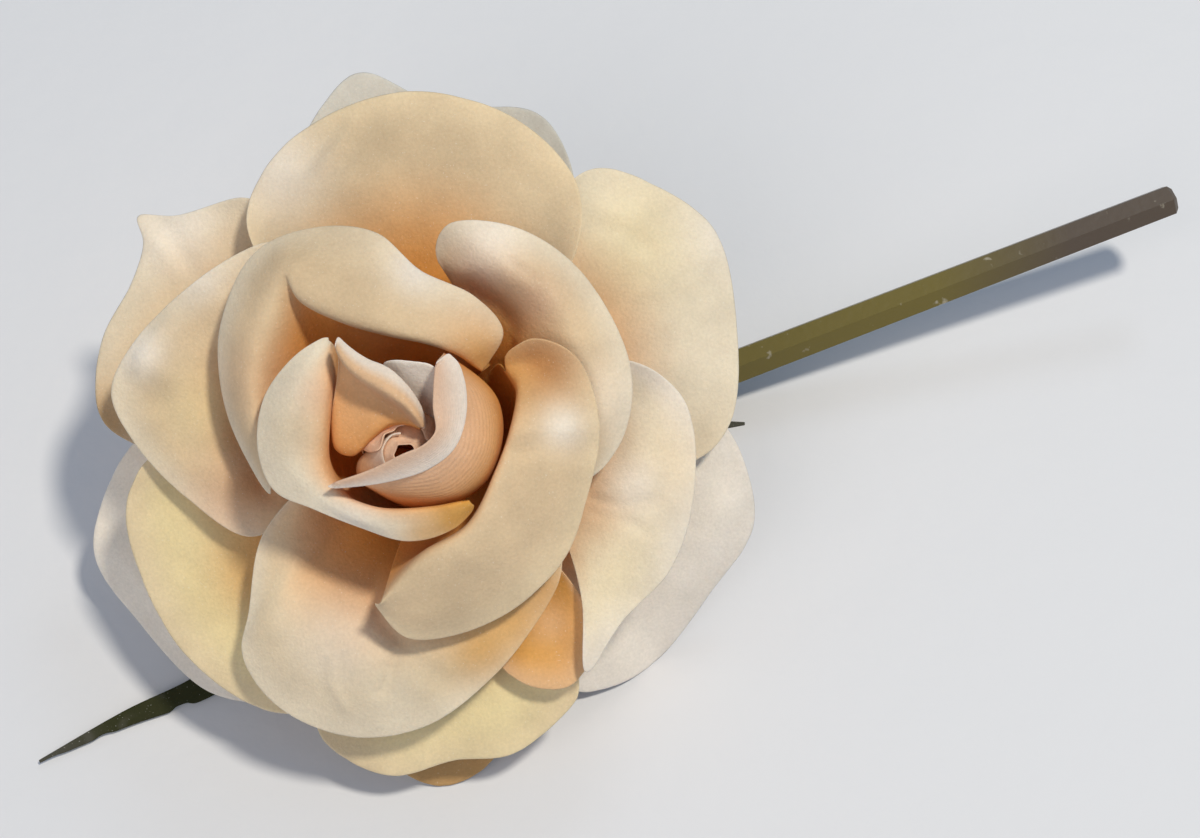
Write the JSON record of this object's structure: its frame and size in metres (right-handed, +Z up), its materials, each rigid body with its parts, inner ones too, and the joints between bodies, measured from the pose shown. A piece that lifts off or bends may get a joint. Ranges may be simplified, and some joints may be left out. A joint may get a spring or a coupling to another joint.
{
  "type": "crepe paper rose",
  "caption": "Open paper rose with layered curled petals round a rolled bud, long thin sepals and a bent faceted stem, lying face up as a decoration.",
  "frame": {"origin": "on the table, under the middle of the rose's bounding box", "axes": "+Z up; +X along the stem side, +Y towards the back of the flower"},
  "size_m": [0.1798, 0.0976, 0.0666],
  "materials": {
    "petal_paper": "matte pale peach and cream crepe, darker orange in the folds",
    "bud_paper": "matte peach crepe with fine ribs",
    "sepal_paper": "matte dark green, ragged edge",
    "stem_wrap": "satin olive, turning purple-brown towards the cut end"
  },
  "bodies": {
    "root": {"back_petal_top": "petal_paper", "back_petal_right": "petal_paper", "back_petal_bottom": "petal_paper", "back_petal_left": "petal_paper", "back_petal_upper_left": "petal_paper", "outer_petal_upper_right": "petal_paper", "outer_petal_bottom": "petal_paper", "outer_petal_top": "petal_paper", "outer_petal_lower_left": "petal_paper", "outer_petal_lower_right": "petal_paper", "outer_petal_right": "petal_paper", "middle_petal_left": "petal_paper", "middle_petal_lower": "petal_paper", "middle_petal_upper_right": "petal_paper", "middle_petal_upper_left": "petal_paper", "middle_petal_right": "petal_paper", "bud_petal_left": "bud_paper", "bud_petal_right": "bud_paper", "bud_petal_back": "bud_paper", "bud_petal_inner": "bud_paper", "bud_petal_heart": "bud_paper", "bud_roll": "bud_paper", "petal_cone": "bud_paper", "rose_hip": "sepal_paper", "sepal_lower_left": "sepal_paper", "sepal_right": "sepal_paper", "sepal_upper_right": "sepal_paper", "sepal_upper_left": "sepal_paper", "sepal_bottom": "sepal_paper", "stem": "stem_wrap"}
  },
  "joints": []
}
